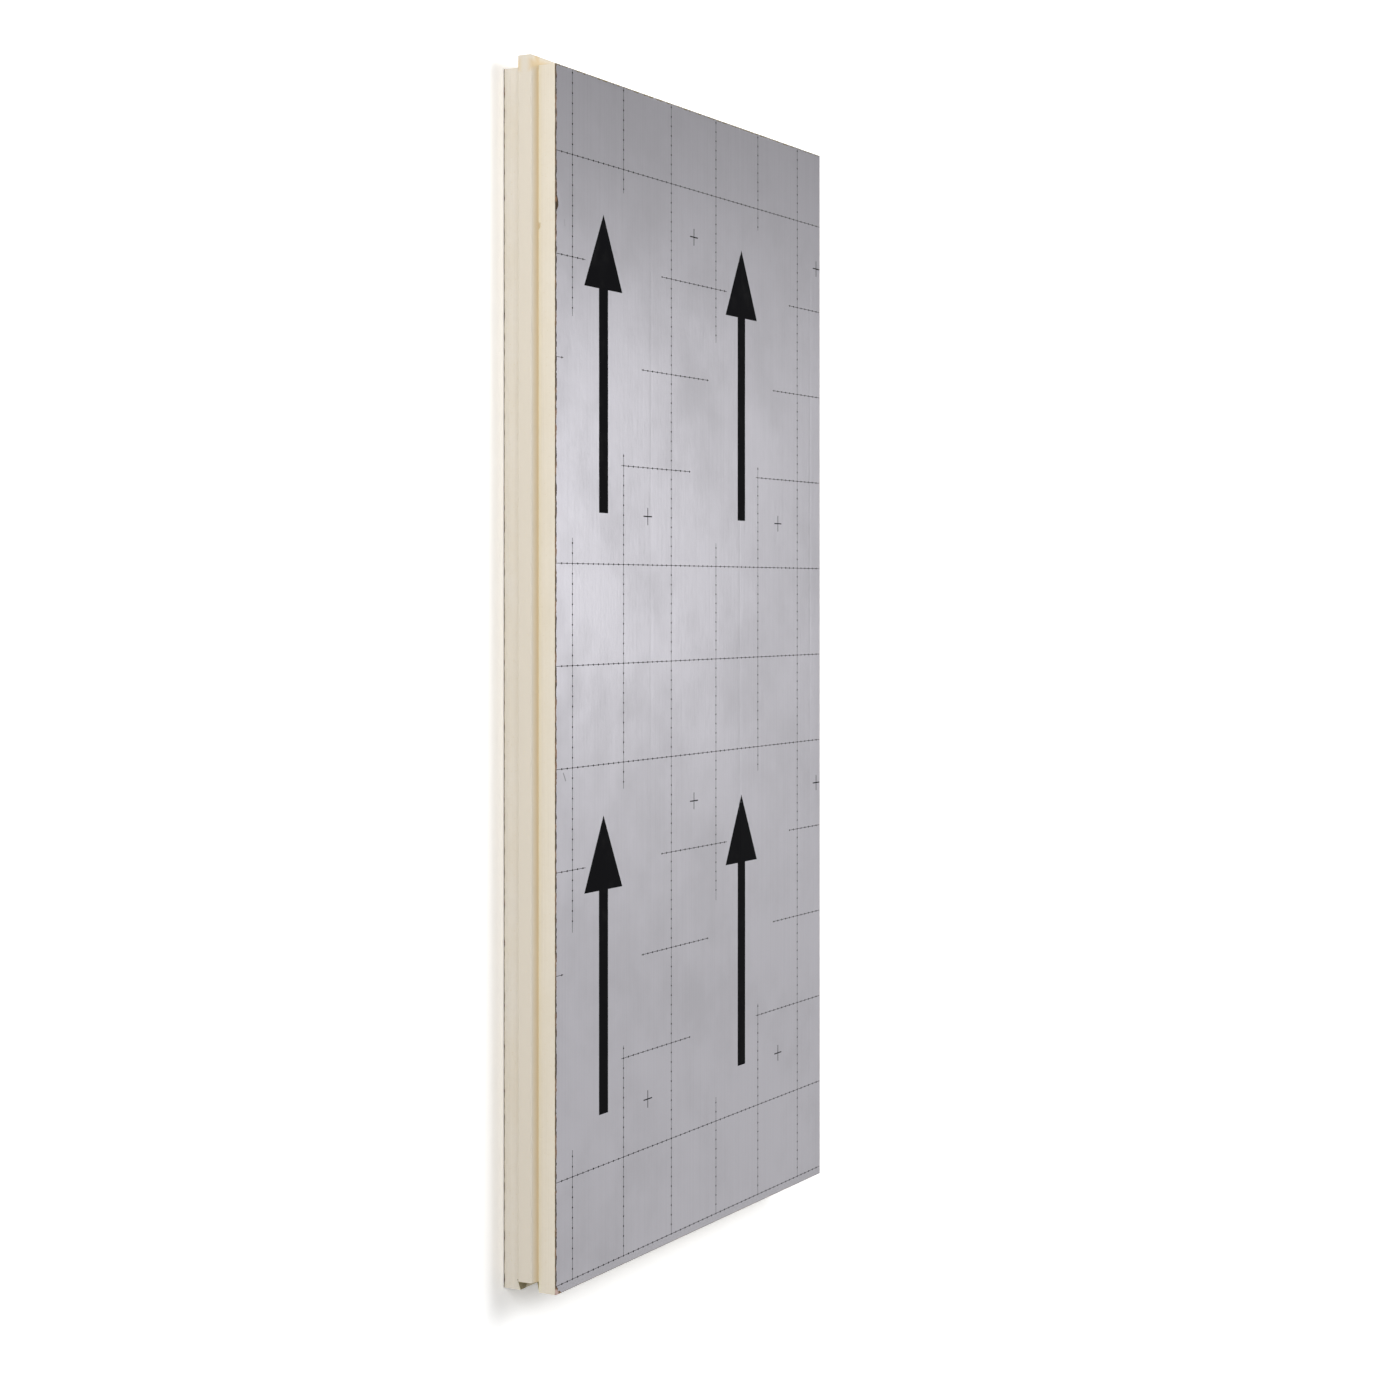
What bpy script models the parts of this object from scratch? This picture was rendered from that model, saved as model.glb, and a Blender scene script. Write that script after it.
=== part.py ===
"""Rigid foam insulation board, tongued and grooved on all four edges, faced with foil on both sides.

Blender 4.5 script. Run it with blender --background --python part.py, or from the text editor.
Metres, +Z up. The board lies flat, printed foil face up, with its back foil on the floor.
The origin is the middle of the overall outline, tongues included, on the underside of the back foil.
The long tongue runs along -Y and the end tongue along -X. The grooves run along +Y and +X.
"""

import math

import bmesh
import bpy
from mathutils import Vector

# Laid size: from a tongue's shoulder to the grooved edge opposite, and foil to foil.
LAID_LENGTH = 1.200
LAID_WIDTH = 0.600
BOARD_THICKNESS = 0.060

# Facings: a laminate of foil and kraft paper, bonded to the foam over its whole face.
FACING_THICKNESS = 0.0005
BOND_GAP = 0.0003

# Tongue: a tapered rib along the middle of the thickness, with its outer edges rounded.
TONGUE_PROJECTION = 0.0095
TONGUE_ROOT_WIDTH = 0.0200
TONGUE_TIP_WIDTH = 0.0160
TONGUE_EDGE_RADIUS = 0.0012

# Groove: takes the next board's tongue, with this much room on each side and past its tip.
JOINT_SIDE_CLEARANCE = 0.0004
JOINT_END_CLEARANCE = 0.0008
GROOVE_FLOOR_RADIUS = 0.0010

# The cutters run this far past the foam that they take away.
CUTTER_OVERRUN = 0.008
ARC_STEPS = 5

FOAM_CREAM = (0.70, 0.62, 0.46, 1.0)
FOIL_SILVER = (0.60, 0.60, 0.64, 1.0)

OVERALL_LENGTH = LAID_LENGTH + TONGUE_PROJECTION
OVERALL_WIDTH = LAID_WIDTH + TONGUE_PROJECTION
GROOVE_DEPTH = TONGUE_PROJECTION + JOINT_END_CLEARANCE
MIDDLE_HEIGHT = BOARD_THICKNESS / 2

# Planes of the four edges. The tongues stand out past their shoulders.
END_SHOULDER_X = OVERALL_LENGTH / 2 - LAID_LENGTH
SIDE_SHOULDER_Y = OVERALL_WIDTH / 2 - LAID_WIDTH
GROOVED_END_X = OVERALL_LENGTH / 2
GROOVED_SIDE_Y = OVERALL_WIDTH / 2

# Ways in which the edges face, in degrees about Z.
TO_GROOVED_END = 0
TO_GROOVED_SIDE = 90
TO_TONGUED_END = 180
TO_TONGUED_SIDE = 270


def new_collection(name):
    collection = bpy.data.collections.new(name)
    bpy.context.scene.collection.children.link(collection)
    return collection


def make_material(name, colour, roughness, metallic):
    material = bpy.data.materials.new(name)
    material.use_nodes = True
    shader = material.node_tree.nodes["Principled BSDF"]
    shader.inputs["Base Color"].default_value = colour
    shader.inputs["Roughness"].default_value = roughness
    shader.inputs["Metallic"].default_value = metallic
    return material


def block(name, low, high, collection):
    """A rectangular block between two opposite corners."""
    bpy.ops.mesh.primitive_cube_add(size=1)
    piece = bpy.context.object
    piece.name = name
    piece.data.name = name
    piece.scale = Vector(high) - Vector(low)
    bpy.ops.object.transform_apply(location=False, rotation=False, scale=True)
    piece.location = (Vector(low) + Vector(high)) / 2
    for holder in list(piece.users_collection):
        holder.objects.unlink(piece)
    collection.objects.link(piece)
    return piece


def rib_section(reach, root_width, tip_width, edge_radius):
    """Outline of a tapered rib, from its lower root round its tip to its upper root.

    Each point is a distance out from the root and a height. The two tip corners are arcs.
    """
    taper = math.atan2((root_width - tip_width) / 2, reach)
    turn = math.radians(90) - taper
    arc_out = reach - edge_radius
    arc_up = tip_width / 2 - edge_radius * math.tan(turn / 2)
    upper = []
    for step in range(ARC_STEPS + 1):
        angle = turn * step / ARC_STEPS
        upper.append((arc_out + edge_radius * math.cos(angle), arc_up + edge_radius * math.sin(angle)))
    upper.append((0, root_width / 2))
    lower = [(out, -up) for out, up in reversed(upper)]
    return [(out, MIDDLE_HEIGHT + up) for out, up in lower + upper]


def tongue_waste():
    """Section of the foam milled away round a tongue, out from its shoulder."""
    rib = rib_section(TONGUE_PROJECTION, TONGUE_ROOT_WIDTH, TONGUE_TIP_WIDTH, TONGUE_EDGE_RADIUS)
    past_tip = TONGUE_PROJECTION + 2 * CUTTER_OVERRUN
    below = -CUTTER_OVERRUN
    above = BOARD_THICKNESS + CUTTER_OVERRUN
    return [(0, below), *rib, (0, above), (past_tip, above), (past_tip, below)]


def groove_waste():
    """Section of the foam milled out of a grooved edge, from past its mouth to its floor."""
    mouth_width = TONGUE_ROOT_WIDTH + 2 * JOINT_SIDE_CLEARANCE
    floor_width = TONGUE_TIP_WIDTH + 2 * JOINT_SIDE_CLEARANCE
    rib = rib_section(GROOVE_DEPTH, mouth_width, floor_width, GROOVE_FLOOR_RADIUS)
    slot = [(-out, height) for out, height in rib]
    return [(CUTTER_OVERRUN, slot[0][1]), *slot, (CUTTER_OVERRUN, slot[-1][1])]


def edge_cutter(name, section, edge_distance, facing, edge_length):
    """A milling cutter: a section stood upright at an edge and drawn out along that edge."""
    curve = bpy.data.curves.new(name, "CURVE")
    curve.dimensions = "2D"
    curve.fill_mode = "BOTH"
    curve.extrude = edge_length / 2 + CUTTER_OVERRUN
    spline = curve.splines.new("POLY")
    spline.points.add(len(section) - 1)
    for point, (out, height) in zip(spline.points, section):
        point.co = (out, height, 0, 1)
    spline.use_cyclic_u = True
    outline = bpy.data.objects.new(name + "_outline", curve)
    heading = math.radians(facing)
    outline.rotation_euler = (math.radians(90), 0, heading)
    outline.location = (edge_distance * math.cos(heading), edge_distance * math.sin(heading), 0)
    bpy.context.scene.collection.objects.link(outline)
    bpy.context.view_layer.update()

    graph = bpy.context.evaluated_depsgraph_get()
    mesh = bpy.data.meshes.new_from_object(outline.evaluated_get(graph))
    weld = bmesh.new()
    weld.from_mesh(mesh)
    bmesh.ops.remove_doubles(weld, verts=weld.verts, dist=1e-6)
    bmesh.ops.recalc_face_normals(weld, faces=weld.faces)
    weld.to_mesh(mesh)
    weld.free()
    cutter = bpy.data.objects.new(name, mesh)
    cutter.matrix_world = outline.matrix_world.copy()
    bpy.data.objects.remove(outline, do_unlink=True)
    cutters.objects.link(cutter)
    return cutter


def cut(piece, cutter):
    cutter.hide_render = True
    cutter.display_type = "WIRE"
    mill = piece.modifiers.new(cutter.name, "BOOLEAN")
    mill.operation = "DIFFERENCE"
    mill.solver = "EXACT"
    mill.object = cutter


for old_object in list(bpy.data.objects):
    bpy.data.objects.remove(old_object, do_unlink=True)

board = new_collection("polyiso_insulation_board")
cutters = new_collection("milling_cutters")
foam = make_material("foam", FOAM_CREAM, 0.85, 0.0)
foil = make_material("foil", FOIL_SILVER, 0.35, 1.0)

# Foam core: a slab cut oversize on its tongued edges, then milled on all four.
foam_core = block(
    "foam_core",
    (
        END_SHOULDER_X - TONGUE_PROJECTION - CUTTER_OVERRUN,
        SIDE_SHOULDER_Y - TONGUE_PROJECTION - CUTTER_OVERRUN,
        FACING_THICKNESS + BOND_GAP,
    ),
    (GROOVED_END_X, GROOVED_SIDE_Y, BOARD_THICKNESS - FACING_THICKNESS - BOND_GAP),
    board,
)
foam_core.data.materials.append(foam)
tongue_mill = tongue_waste()
groove_mill = groove_waste()
cut(foam_core, edge_cutter("end_tongue_mill", tongue_mill, -END_SHOULDER_X, TO_TONGUED_END, OVERALL_WIDTH))
cut(foam_core, edge_cutter("side_tongue_mill", tongue_mill, -SIDE_SHOULDER_Y, TO_TONGUED_SIDE, OVERALL_LENGTH))
cut(foam_core, edge_cutter("end_groove_mill", groove_mill, GROOVED_END_X, TO_GROOVED_END, OVERALL_WIDTH))
cut(foam_core, edge_cutter("side_groove_mill", groove_mill, GROOVED_SIDE_Y, TO_GROOVED_SIDE, OVERALL_LENGTH))

# Docking cuts: each tongue stops square at the floor of the groove that crosses its end.
side_tongue_dock = block(
    "side_tongue_dock",
    (
        GROOVED_END_X - GROOVE_DEPTH,
        SIDE_SHOULDER_Y - TONGUE_PROJECTION - CUTTER_OVERRUN,
        -CUTTER_OVERRUN,
    ),
    (GROOVED_END_X + CUTTER_OVERRUN, SIDE_SHOULDER_Y, BOARD_THICKNESS + CUTTER_OVERRUN),
    cutters,
)
end_tongue_dock = block(
    "end_tongue_dock",
    (
        END_SHOULDER_X - TONGUE_PROJECTION - CUTTER_OVERRUN,
        GROOVED_SIDE_Y - GROOVE_DEPTH,
        -CUTTER_OVERRUN,
    ),
    (END_SHOULDER_X, GROOVED_SIDE_Y + CUTTER_OVERRUN, BOARD_THICKNESS + CUTTER_OVERRUN),
    cutters,
)
cut(foam_core, side_tongue_dock)
cut(foam_core, end_tongue_dock)

# Facings: trimmed flush with the shoulders and with the grooved edges.
back_facing = block(
    "back_facing",
    (END_SHOULDER_X, SIDE_SHOULDER_Y, 0),
    (GROOVED_END_X, GROOVED_SIDE_Y, FACING_THICKNESS),
    board,
)
front_facing = block(
    "front_facing",
    (END_SHOULDER_X, SIDE_SHOULDER_Y, BOARD_THICKNESS - FACING_THICKNESS),
    (GROOVED_END_X, GROOVED_SIDE_Y, BOARD_THICKNESS),
    board,
)
back_facing.data.materials.append(foil)
front_facing.data.materials.append(foil)
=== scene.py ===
import math
import bpy
from mathutils import Matrix, Vector


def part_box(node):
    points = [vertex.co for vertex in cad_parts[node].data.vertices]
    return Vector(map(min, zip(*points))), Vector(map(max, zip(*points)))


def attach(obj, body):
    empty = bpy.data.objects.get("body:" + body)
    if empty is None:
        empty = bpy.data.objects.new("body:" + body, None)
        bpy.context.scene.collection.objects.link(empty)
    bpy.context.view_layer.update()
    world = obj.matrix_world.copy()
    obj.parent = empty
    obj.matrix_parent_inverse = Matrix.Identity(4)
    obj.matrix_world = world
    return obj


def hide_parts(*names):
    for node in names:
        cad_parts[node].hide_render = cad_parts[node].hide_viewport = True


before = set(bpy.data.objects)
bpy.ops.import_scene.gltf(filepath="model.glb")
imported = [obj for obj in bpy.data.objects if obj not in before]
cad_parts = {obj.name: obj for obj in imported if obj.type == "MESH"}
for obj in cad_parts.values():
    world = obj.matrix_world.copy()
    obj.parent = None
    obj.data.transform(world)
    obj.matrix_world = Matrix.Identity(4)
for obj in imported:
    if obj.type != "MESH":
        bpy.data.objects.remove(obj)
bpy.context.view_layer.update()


# Foam core
# One slab of rigid closed-cell foam, foamed between its facings and sawn to size. Its edges are milled
# with a tapered tongue on two sides and the matching groove on the other two, and are left bare.
FOAM_LOW, FOAM_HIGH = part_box("foam_core")
SHOULDER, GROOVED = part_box("front_facing")
MIDDLE = (FOAM_LOW.z + FOAM_HIGH.z) / 2
TONGUE_REACH = SHOULDER.x - FOAM_LOW.x
TONGUE_ROOT_HALF = 0.0100
TONGUE_TIP_HALF = 0.0080
TONGUE_EDGE_RADIUS = 0.0012
JOINT_SIDE_ROOM = 0.0004
JOINT_END_ROOM = 0.0008
GROOVE_DEPTH = TONGUE_REACH + JOINT_END_ROOM
GROOVE_MOUTH_HALF = TONGUE_ROOT_HALF + JOINT_SIDE_ROOM
GROOVE_FLOOR_HALF = TONGUE_TIP_HALF + JOINT_SIDE_ROOM
GROOVE_FLOOR_RADIUS = 0.0010
DOCKED_X = GROOVED.x - GROOVE_DEPTH
DOCKED_Y = GROOVED.y - GROOVE_DEPTH
NEAR = 0.00005
TALL_EDGE = 0.012
LEAST_SLOPE = 0.0005
MOST_SLOPE = 0.003
LEAST_FLANK = 0.005
CUTTER_WAVE_LENGTH = 0.05
CUTTER_WAVE_DEPTH = 0.0003
KNOCK_SIZE = 0.007
KNOCK_DEPTH = 0.0005
CHIP = Vector((-0.438, SHOULDER.y, MIDDLE + TONGUE_ROOT_HALF))
CHIP_RADIUS = 0.0014
CHIP_DENT = (0, 0.0020, 0.0004)
BREAK_LOW = Vector((DOCKED_X + 0.0002, SHOULDER.y - 0.0010, MIDDLE - 0.0150))
BREAK_HIGH = Vector((GROOVED.x + 0.0010, SHOULDER.y + 0.0060, MIDDLE - TONGUE_TIP_HALF))
BREAK_RISE_AT_END = 0.0045
BREAK_RISE_INSIDE = 0.0040
BREAK_SHADE_FADE = (0.0090, 0.0070)
TIP_DARK_FADE = (0.0030, 0.0010)
DUST_AND_SHADE_SPREAD = 0.0090
BOUNCE_LIGHT_SPREAD = 0.0050
SCORCH_AND_SHADE_FADE = (0.0105, 0.0020)
SHADED_RUN_OUT_FADE = (SHOULDER.y + 0.070, SHOULDER.y + 0.040)
RIM_LINE_FADE = (0.0290, 0.0298)
RIM_LINE_RAGGED = 0.0012
FOAM_CREAM = (0.825, 0.760, 0.645, 1)
FOAM_PALE = (0.830, 0.780, 0.695, 1)
FOAM_DEEP = (0.775, 0.695, 0.550, 1)
# Painted warm corner shade, with some dust, along the tongue's root.
FOAM_DUST_AND_SHADE = (0.740, 0.560, 0.300, 1)
# Painted bounce light on the shoulders beside the tongue's root.
FOAM_BOUNCE_LIGHT = (0.850, 0.790, 0.600, 1)
FOAM_TIP_DARKER = (0.745, 0.680, 0.575, 1)
# Mostly painted shade, with a little scorch, in the grooves and in the break in the back lip.
FOAM_SCORCH_AND_SHADE = (0.230, 0.185, 0.070, 1)
# Resin stain and painted shadow under the facings.
RESIN_AND_SHADE_BROWN = (0.230, 0.160, 0.085, 1)


def at(value, plane):
    return abs(value - plane) < NEAR


def start_block(name, low, high):
    """A block between two opposite corners, with its place in its mesh."""
    bpy.ops.object.select_all(action="DESELECT")
    bpy.ops.mesh.primitive_cube_add(size=1, location=(low + high) / 2)
    block = bpy.context.object
    block.name = name
    block.data.name = name
    block.scale = high - low
    bpy.ops.object.transform_apply(location=True, rotation=True, scale=True)
    bpy.ops.object.mode_set(mode="EDIT")
    return block


def pick_corners(piece, wanted):
    """In edit mode, selects only the corners that pass a test of their place and number."""
    bpy.ops.mesh.select_mode(type="VERT")
    bpy.ops.mesh.select_all(action="DESELECT")
    bpy.ops.object.mode_set(mode="OBJECT")
    for corner in piece.data.vertices:
        corner.select = wanted(corner)
    bpy.ops.object.mode_set(mode="EDIT")


def pick_edges(piece, wanted):
    """In edit mode, selects only the edges whose two ends pass a test."""
    bpy.ops.mesh.select_mode(type="EDGE")
    bpy.ops.mesh.select_all(action="DESELECT")
    bpy.ops.object.mode_set(mode="OBJECT")
    corners = piece.data.vertices
    for edge in piece.data.edges:
        start, end = edge.vertices
        edge.select = wanted(corners[start].co, corners[end].co)
    bpy.ops.object.mode_set(mode="EDIT")


def pick_faces(piece, wanted):
    """In edit mode, selects only the faces whose centre and normal pass a test."""
    bpy.ops.mesh.select_mode(type="FACE")
    bpy.ops.mesh.select_all(action="DESELECT")
    bpy.ops.object.mode_set(mode="OBJECT")
    for face in piece.data.polygons:
        face.select = wanted(face.center, face.normal)
    bpy.ops.object.mode_set(mode="EDIT")


def divide_edges(piece, wanted, parts):
    """Cuts each wanted edge, and the faces between such edges, into equal parts."""
    pick_edges(piece, wanted)
    bpy.ops.mesh.subdivide(number_cuts=parts - 1)


def draw_band(piece, wanted, steps):
    """Extrudes a band of faces, then moves the faces that look along each axis by a step of their own."""
    pick_faces(piece, wanted)
    bpy.ops.mesh.extrude_region()
    bpy.ops.object.mode_set(mode="OBJECT")
    drawn = [face for face in piece.data.polygons if face.select]
    ends = []
    for step in steps:
        facing = Vector(step).normalized()
        ends.append({i for face in drawn if abs(face.normal.dot(facing)) > 0.9 for i in face.vertices})
    bpy.ops.object.mode_set(mode="EDIT")
    for end, step in zip(ends, steps):
        pick_corners(piece, lambda corner: corner.index in end)
        bpy.ops.transform.translate(value=step)


def press_surface(piece, texture, depth, group="", direction="NORMAL", middle=0):
    """Moves the surface by a texture's value, less a middle value, times a depth, and applies that."""
    press = piece.modifiers.new(texture.name, "DISPLACE")
    press.texture = texture
    press.direction = direction
    press.mid_level = middle
    press.strength = depth
    press.vertex_group = group
    bpy.ops.object.modifier_apply(modifier=press.name)


def cloud_texture(name, size, contrast=1.0, level=1.0, depth=2):
    texture = bpy.data.textures.new(name, "CLOUDS")
    texture.noise_scale = size
    texture.noise_depth = depth
    texture.contrast = contrast
    texture.intensity = level
    texture.use_clamp = True
    return texture


def mark_group(piece, name, wanted):
    """A vertex group of the corners whose place passes a test."""
    group = piece.vertex_groups.new(name=name)
    group.add([corner.index for corner in piece.data.vertices if wanted(corner.co)], 1.0, "REPLACE")


def on_tongue_side(place, normal):
    """The two sides that get a tongue, up to where it is docked."""
    return (normal.x < -0.9 and place.y < DOCKED_Y) or (normal.y < -0.9 and place.x < DOCKED_X)


def on_groove_side(place, normal):
    """The two sides that get a groove."""
    return (normal.x > 0.9 and at(place.x, GROOVED.x)) or (normal.y > 0.9 and at(place.y, GROOVED.y))


def on_groove_end(place, normal):
    """The caps that the drawn grooves leave on the two tongued sides."""
    end_groove = at(place.y, SHOULDER.y) and place.x > DOCKED_X
    side_groove = at(place.x, SHOULDER.x) and place.y > DOCKED_Y
    return abs(place.z - MIDDLE) < GROOVE_FLOOR_HALF and (end_groove or side_groove)


def on_floor_corner(a, b):
    """Along the two inner corners of a groove's floor."""
    level = at(a.z, b.z) and at(abs(a.z - MIDDLE), GROOVE_FLOOR_HALF)
    end_groove = at(a.x, DOCKED_X) and at(b.x, DOCKED_X) and min(a.y, b.y) > SHOULDER.y - NEAR
    side_groove = at(a.y, DOCKED_Y) and at(b.y, DOCKED_Y) and min(a.x, b.x) > SHOULDER.x - NEAR
    return level and (end_groove or side_groove)


def on_tip_corner(a, b):
    """Along the two outer corners of a tongue's tip."""
    level = at(a.z, b.z) and at(abs(a.z - MIDDLE), TONGUE_TIP_HALF)
    end_tongue = at(a.x, FOAM_LOW.x) and at(b.x, FOAM_LOW.x)
    side_tongue = at(a.y, FOAM_LOW.y) and at(b.y, FOAM_LOW.y)
    return level and (end_tongue or side_tongue)


def on_flank(a, b):
    """Along the slope of a tongue's or a groove's flank, from its root to its tip."""
    return LEAST_SLOPE < abs(a.z - b.z) < MOST_SLOPE and (a - b).xy.length > LEAST_FLANK


def on_foam_arris(place):
    """Along the sawn edges of the slab and the milled edges of the tongue."""
    outer = at(place.z, FOAM_LOW.z) or at(place.z, FOAM_HIGH.z)
    rise = abs(place.z - MIDDLE)
    tip = TONGUE_TIP_HALF - TONGUE_EDGE_RADIUS < rise < TONGUE_TIP_HALF + NEAR
    return outer or (tip and (place.x < SHOULDER.x - NEAR or place.y < SHOULDER.y - NEAR))


def break_lip(slab):
    """Breaks a wedge off the back lip, where the end groove's cutter ran out beside the long tongue."""
    wedge = start_block("broken_wedge", BREAK_LOW, BREAK_HIGH)
    pick_corners(wedge, lambda corner: at(corner.co.z, BREAK_LOW.z) and at(corner.co.x, BREAK_HIGH.x))
    bpy.ops.transform.translate(value=(0, 0, BREAK_RISE_AT_END))
    pick_corners(wedge, lambda corner: at(corner.co.z, BREAK_LOW.z) and at(corner.co.y, BREAK_HIGH.y))
    bpy.ops.transform.translate(value=(0, 0, BREAK_RISE_INSIDE))
    bpy.ops.object.mode_set(mode="OBJECT")
    bpy.context.view_layer.objects.active = slab
    split = slab.modifiers.new("split", "BOOLEAN")
    split.operation = "DIFFERENCE"
    split.solver = "EXACT"
    split.object = wedge
    bpy.ops.object.modifier_apply(modifier=split.name)
    bpy.data.objects.remove(wedge, do_unlink=True)


def mill_foam():
    slab = start_block(
        "milled_foam",
        Vector((SHOULDER.x, SHOULDER.y, FOAM_LOW.z)),
        Vector((GROOVED.x, GROOVED.y, FOAM_HIGH.z)),
    )

    # Marked out: where the tongues are docked, their roots, and the grooves' floors.
    for plane, across in (((DOCKED_X, 0, 0), (1, 0, 0)), ((0, DOCKED_Y, 0), (0, 1, 0))):
        bpy.ops.mesh.select_all(action="SELECT")
        bpy.ops.mesh.bisect(plane_co=plane, plane_no=across)
    for height in (MIDDLE - TONGUE_ROOT_HALF, MIDDLE + TONGUE_ROOT_HALF):
        pick_faces(slab, on_tongue_side)
        bpy.ops.mesh.bisect(plane_co=(0, 0, height), plane_no=(0, 0, 1))
    for height in (MIDDLE - GROOVE_FLOOR_HALF, MIDDLE + GROOVE_FLOOR_HALF):
        pick_faces(slab, lambda place, normal: abs(normal.z) < 0.1)
        bpy.ops.mesh.bisect(plane_co=(0, 0, height), plane_no=(0, 0, 1))

    # Tongues: the middle band is drawn out on two sides, which meet in a mitre, and tapered.
    draw_band(
        slab,
        lambda place, normal: on_tongue_side(place, normal) and abs(place.z - MIDDLE) < TONGUE_ROOT_HALF,
        ((-TONGUE_REACH, 0, 0), (0, -TONGUE_REACH, 0)),
    )
    pick_corners(slab, lambda corner: corner.co.x < SHOULDER.x - NEAR or corner.co.y < SHOULDER.y - NEAR)
    taper = TONGUE_TIP_HALF / TONGUE_ROOT_HALF
    bpy.ops.transform.resize(value=(1, 1, taper), center_override=(0, 0, MIDDLE))

    # Grooves: the middle band is pushed in on the other two sides, opened at its ends and flared.
    draw_band(
        slab,
        lambda place, normal: on_groove_side(place, normal) and abs(place.z - MIDDLE) < GROOVE_FLOOR_HALF,
        ((-GROOVE_DEPTH, 0, 0), (0, -GROOVE_DEPTH, 0)),
    )
    pick_faces(slab, on_groove_end)
    bpy.ops.mesh.delete(type="FACE")
    bpy.ops.mesh.select_all(action="SELECT")
    bpy.ops.mesh.remove_doubles(threshold=NEAR)
    pick_corners(
        slab,
        lambda corner: (at(corner.co.x, GROOVED.x) or at(corner.co.y, GROOVED.y))
        and at(abs(corner.co.z - MIDDLE), GROOVE_FLOOR_HALF),
    )
    flare = GROOVE_MOUTH_HALF / GROOVE_FLOOR_HALF
    bpy.ops.transform.resize(value=(1, 1, flare), center_override=(0, 0, MIDDLE))

    # The cutters' rounded corners along the grooves' floors and the tongue's tip.
    pick_edges(slab, on_floor_corner)
    bpy.ops.mesh.bevel(offset=GROOVE_FLOOR_RADIUS, segments=3, profile=0.5, affect="EDGES")
    pick_edges(slab, on_tip_corner)
    bpy.ops.mesh.bevel(offset=TONGUE_EDGE_RADIUS, segments=4, profile=0.5, affect="EDGES")

    # Divided finely enough for dents and the cutters' wave: the long edges are cut twice, to about 2.5 mm.
    # The broad faces, under the facings, are left out of it and closed again afterwards.
    pick_faces(slab, lambda place, normal: at(place.z, FOAM_LOW.z) or at(place.z, FOAM_HIGH.z))
    bpy.ops.mesh.delete(type="ONLY_FACE")
    divide_edges(slab, lambda a, b: abs(a.z - b.z) > TALL_EDGE, 8)
    divide_edges(slab, on_flank, 4)
    for shortest, parts in ((0.9, 16), (0.05, 30)):
        divide_edges(slab, lambda a, b: abs(a.x - b.x) > shortest and at(a.z, b.z), parts)
    for shortest, parts in ((0.45, 16), (0.03, 16)):
        divide_edges(slab, lambda a, b: abs(a.y - b.y) > shortest and at(a.z, b.z), parts)
    for height in (FOAM_LOW.z, FOAM_HIGH.z):
        pick_edges(slab, lambda a, b: at(a.z, height) and at(b.z, height))
        bpy.ops.mesh.edge_face_add()
    bpy.ops.mesh.select_all(action="SELECT")
    bpy.ops.mesh.normals_make_consistent(inside=False)
    bpy.ops.object.mode_set(mode="OBJECT")
    break_lip(slab)

    # Wear: a shallow wave left by the cutters, and knocks along the edges.
    mark_group(slab, "arris", on_foam_arris)
    mark_group(slab, "milled", lambda place: FOAM_LOW.z + NEAR < place.z < FOAM_HIGH.z - NEAR)
    press_surface(slab, cloud_texture("cutter_wave", CUTTER_WAVE_LENGTH), -CUTTER_WAVE_DEPTH, "milled")
    knocks = cloud_texture("edge_knocks", KNOCK_SIZE, contrast=4.0, level=0.75)
    press_surface(slab, knocks, -KNOCK_DEPTH, "arris")
    bpy.ops.object.mode_set(mode="EDIT")
    pick_corners(slab, lambda corner: (corner.co - CHIP).length < CHIP_RADIUS)
    bpy.ops.transform.translate(value=CHIP_DENT)
    bpy.ops.object.mode_set(mode="OBJECT")
    bpy.ops.object.shade_smooth_by_angle(angle=math.radians(32))
    return slab


def add_node(tree, kind, **values):
    """A shader node with its inputs and settings given by name, with _ for a space in an input's name."""
    made = tree.nodes.new(kind)
    for name, value in values.items():
        socket = made.inputs.get(name.replace("_", " "))
        if socket:
            socket.default_value = value
        else:
            setattr(made, name, value)
    return made


def colour_ramp(tree, source, stops):
    """A ramp of (place, colour) stops on one value."""
    ramp = tree.nodes.new("ShaderNodeValToRGB")
    elements = ramp.color_ramp.elements
    while len(elements) < len(stops):
        elements.new(0.5)
    for element, (place, colour) in zip(elements, stops):
        element.position = place
        element.color = colour
    tree.links.new(source, ramp.inputs["Fac"])
    return ramp.outputs["Color"]


def grey(value):
    return (value, value, value, 1)


def start_material(name, colour, roughness):
    """A material whose shader has a base colour and a roughness, and its node tree, links and shader."""
    material = bpy.data.materials.new(name)
    material.use_nodes = True
    material.diffuse_color = colour
    tree = material.node_tree
    shader = tree.nodes["Principled BSDF"]
    shader.inputs["Base Color"].default_value = colour
    shader.inputs["Roughness"].default_value = roughness
    return material, tree, shader


def mix_colours(tree, amount, first, second, way="MIX"):
    """Mixes two colours, each a fixed colour or another node's output, by an amount of either kind."""
    blend = tree.nodes.new("ShaderNodeMix")
    blend.data_type = "RGBA"
    blend.blend_type = way
    for socket, value in ((blend.inputs[0], amount), (blend.inputs[6], first), (blend.inputs[7], second)):
        if isinstance(value, bpy.types.NodeSocket):
            tree.links.new(value, socket)
        else:
            socket.default_value = value
    return blend.outputs[2]


def do_sum(tree, operation, first, second):
    """One sum on two values, each a number or another node's output."""
    made = tree.nodes.new("ShaderNodeMath")
    made.operation = operation
    for socket, value in zip(made.inputs, (first, second)):
        if isinstance(value, bpy.types.NodeSocket):
            tree.links.new(value, socket)
        else:
            socket.default_value = value
    return made.outputs[0]


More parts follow.
